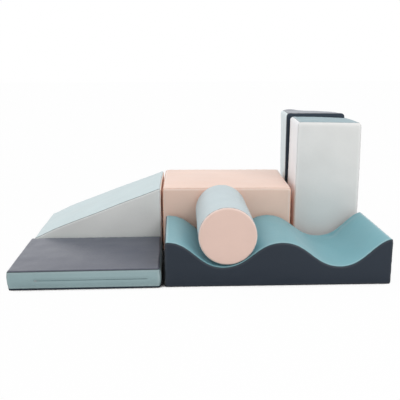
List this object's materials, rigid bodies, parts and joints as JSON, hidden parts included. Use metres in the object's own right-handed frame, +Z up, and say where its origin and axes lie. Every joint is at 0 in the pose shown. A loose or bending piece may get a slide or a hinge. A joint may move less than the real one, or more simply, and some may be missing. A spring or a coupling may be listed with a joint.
{
  "type": "soft play foam climber",
  "caption": "Loose foam play modules in sewn vinyl covers: landing mat, wedge ramp, step block, wave with a roller lying in its trough, and tall square pillars.",
  "frame": {"origin": "middle of the whole set's footprint, on the floor", "axes": "+X to the viewer's right along the wave, +Y to the back, +Z up; the mat and wave lie in front, at -Y"},
  "size_m": [2.0827, 1.5166, 0.804],
  "materials": {
    "mint_vinyl": "satin",
    "aqua_vinyl": "satin",
    "peach_vinyl": "satin",
    "grey_vinyl": "satin",
    "navy_vinyl": "satin",
    "white_vinyl": "satin",
    "cream_vinyl": "satin",
    "foam": "matte",
    "zip": "matte",
    "slider_metal": "satin"
  },
  "bodies": {
    "mat": {"mat_band_back": "aqua_vinyl", "mat_band_front": "aqua_vinyl", "mat_base_panel": "grey_vinyl", "mat_foam": "foam", "mat_top_panel": "grey_vinyl", "mat_zip": "zip"},
    "wedge": {"wedge_base_panel": "grey_vinyl", "wedge_end_panel": "cream_vinyl", "wedge_foam": "foam", "wedge_side_front": "white_vinyl", "wedge_side_rear": "white_vinyl", "wedge_slope_panel": "mint_vinyl", "wedge_toe_panel": "mint_vinyl", "wedge_zip": "zip"},
    "block": {"block_base_panel": "grey_vinyl", "block_foam": "foam", "block_front_panel": "peach_vinyl", "block_left_panel": "peach_vinyl", "block_rear_panel": "peach_vinyl", "block_right_panel": "peach_vinyl", "block_top_panel": "peach_vinyl", "block_zip": "zip"},
    "wave": {"wave_base_panel": "grey_vinyl", "wave_end_left": "navy_vinyl", "wave_end_right": "navy_vinyl", "wave_foam": "foam", "wave_side_front": "navy_vinyl", "wave_side_rear": "navy_vinyl", "wave_top_panel": "aqua_vinyl", "wave_zip": "zip"},
    "roller": {"roller_end_front": "peach_vinyl", "roller_end_rear": "peach_vinyl", "roller_foam": "foam", "roller_wrap": "mint_vinyl", "roller_zip": "zip"},
    "light_pillar": {"light_pillar_base_panel": "grey_vinyl", "light_pillar_foam": "foam", "light_pillar_front_panel": "white_vinyl", "light_pillar_left_panel": "cream_vinyl", "light_pillar_rear_panel": "white_vinyl", "light_pillar_right_panel": "white_vinyl", "light_pillar_top_panel": "aqua_vinyl", "light_pillar_zip": "zip"},
    "dark_pillar": {"dark_pillar_base_panel": "grey_vinyl", "dark_pillar_foam": "foam", "dark_pillar_front_panel": "navy_vinyl", "dark_pillar_left_panel": "mint_vinyl", "dark_pillar_rear_panel": "navy_vinyl", "dark_pillar_right_panel": "navy_vinyl", "dark_pillar_top_panel": "grey_vinyl", "dark_pillar_zip": "zip"},
    "mat_slider": {"mat_zip_slider": "slider_metal"},
    "wedge_slider": {"wedge_zip_slider": "slider_metal"},
    "block_slider": {"block_zip_slider": "slider_metal"},
    "wave_slider": {"wave_zip_slider": "slider_metal"},
    "roller_slider": {"roller_zip_slider": "slider_metal"},
    "light_pillar_slider": {"light_pillar_zip_slider": "slider_metal"},
    "dark_pillar_slider": {"dark_pillar_zip_slider": "slider_metal"}
  },
  "joints": [
    {"name": "mat_slide", "type": "slide", "parent": "block", "child": "mat", "axis": [0, -1, 0], "range_m": [0, 0.7]},
    {"name": "wedge_slide", "type": "slide", "parent": "block", "child": "wedge", "axis": [-1, 0, 0], "range_m": [0, 0.9]},
    {"name": "wave_slide", "type": "slide", "parent": "block", "child": "wave", "axis": [0, -1, 0], "range_m": [0, 0.7]},
    {"name": "light_pillar_slide", "type": "slide", "parent": "block", "child": "light_pillar", "axis": [1, 0, 0], "range_m": [0, 0.5]},
    {"name": "dark_pillar_slide", "type": "slide", "parent": "block", "child": "dark_pillar", "axis": [0, 1, 0], "range_m": [0, 0.5]},
    {"name": "roller_roll", "type": "hinge", "parent": "wave", "child": "roller", "pos_m": [0.134, -0.7233, 0.2695], "axis": [0, 1, 0], "continuous": true},
    {"name": "mat_zip_slide", "type": "slide", "parent": "mat", "child": "mat_slider", "axis": [0.9998, 0.0192, 0], "range_m": [0, 0.5715]},
    {"name": "wedge_zip_slide", "type": "slide", "parent": "wedge", "child": "wedge_slider", "axis": [0.9999, 0.0138, 0], "range_m": [0, 0.5415]},
    {"name": "block_zip_slide", "type": "slide", "parent": "block", "child": "block_slider", "axis": [0.9997, -0.0255, 0], "range_m": [0, 0.6215]},
    {"name": "wave_zip_slide", "type": "slide", "parent": "wave", "child": "wave_slider", "axis": [1, 0, 0], "range_m": [0, 0.8815]},
    {"name": "roller_zip_slide", "type": "slide", "parent": "roller", "child": "roller_slider", "axis": [1, 0, 0], "range_m": [0, 0.2115]},
    {"name": "light_pillar_zip_slide", "type": "slide", "parent": "light_pillar", "child": "light_pillar_slider", "axis": [0.0598, 0.9982, 0], "range_m": [0, 0.2815]},
    {"name": "dark_pillar_zip_slide", "type": "slide", "parent": "dark_pillar", "child": "dark_pillar_slider", "axis": [0.998, -0.0628, 0], "range_m": [0, 0.2815]}
  ]
}
